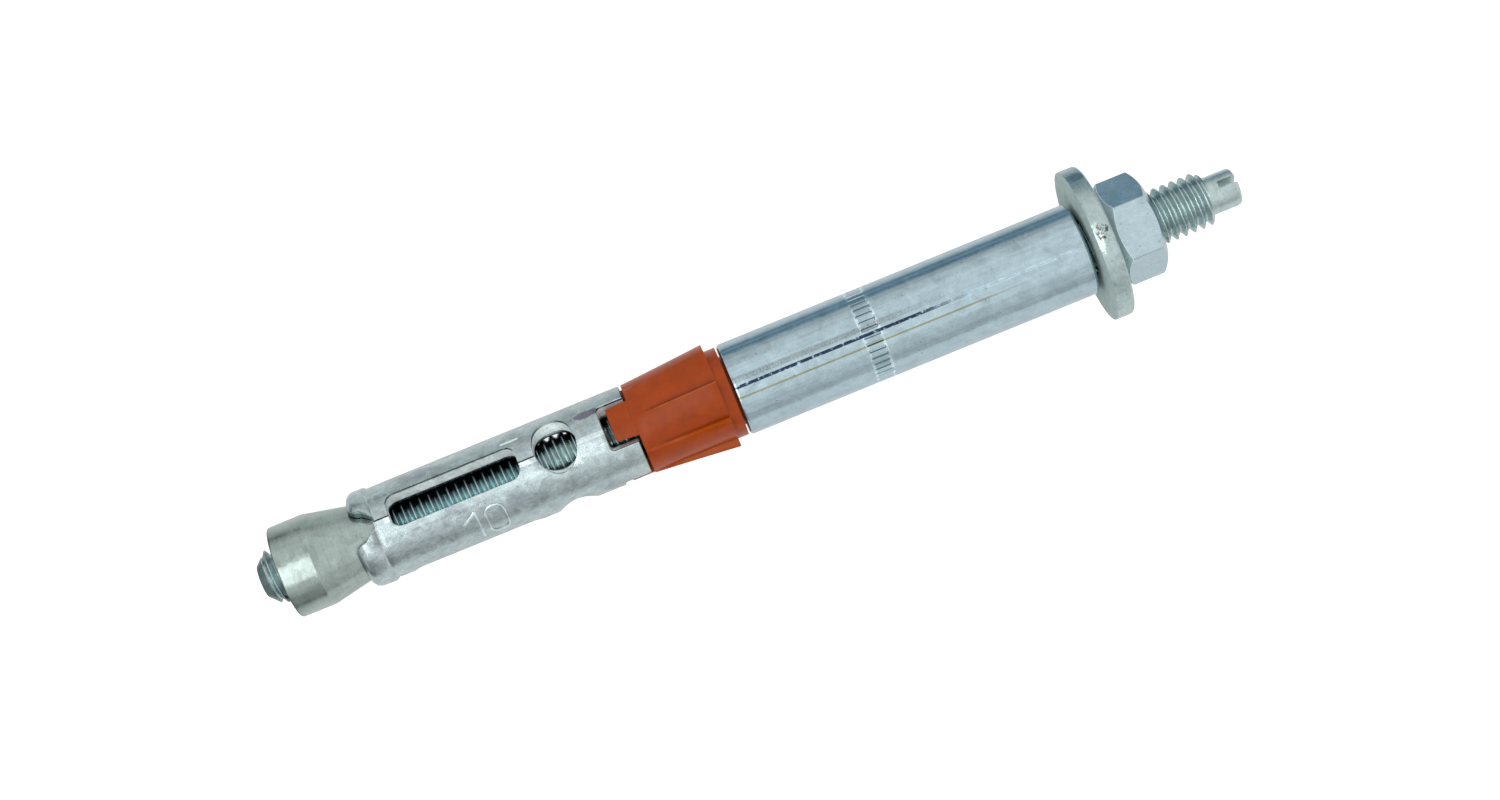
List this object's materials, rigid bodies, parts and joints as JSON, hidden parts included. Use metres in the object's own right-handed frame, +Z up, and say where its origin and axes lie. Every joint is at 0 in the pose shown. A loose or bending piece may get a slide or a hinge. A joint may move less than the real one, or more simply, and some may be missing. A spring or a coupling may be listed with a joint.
{
  "type": "undercut anchor",
  "caption": "Steel anchor for concrete: a slotted threaded stud draws a cone into a slit sleeve, with an orange finned collar, a distance tube, a washer and a hexagon nut.",
  "frame": {"origin": "on the floor below the middle of the anchor's length, which lies on its washer's rim and its cone's rim", "axes": "+X along the anchor towards the nut, which lies about 2 degrees higher; +Z up"},
  "size_m": [0.1096, 0.0166, 0.0166],
  "materials": {
    "thread_zinc": "zinc-plated rolled thread",
    "cone_steel": "satin plated, slightly warm",
    "sleeve_zinc": "bright zinc plate, tumbled",
    "collar_plastic": "moulded rust orange plastic",
    "tube_zinc": "bright blue-white zinc plate",
    "washer_zinc": "zinc plate with nicks",
    "nut_zinc": "smooth blue-white zinc plate"
  },
  "bodies": {
    "sleeve_stack": {"expansion_sleeve": "sleeve_zinc", "collar": "collar_plastic", "distance_tube": "tube_zinc"},
    "bolt": {"threaded_stud": "thread_zinc", "cone": "cone_steel"},
    "nut": {"hex_nut": "nut_zinc"},
    "washer": {"washer": "washer_zinc"}
  },
  "joints": [
    {"name": "nut_turn", "type": "hinge", "parent": "sleeve_stack", "child": "nut", "pos_m": [0.04271, 0, 0.00848], "axis": [0.9993, 0, 0.0366], "range_deg": [0, 3600]},
    {"name": "bolt_slide", "type": "slide", "parent": "sleeve_stack", "child": "bolt", "axis": [0.9993, 0, 0.0366], "range_m": [-0.01, 0]},
    {"name": "washer_slide", "type": "slide", "parent": "sleeve_stack", "child": "washer", "axis": [0.9993, 0, 0.0366], "range_m": [-0.0005, 0.00058]}
  ],
  "couplings": [
    {"joint": "nut_turn", "follows": "bolt_slide", "rad_per_m": -6283.2}
  ]
}
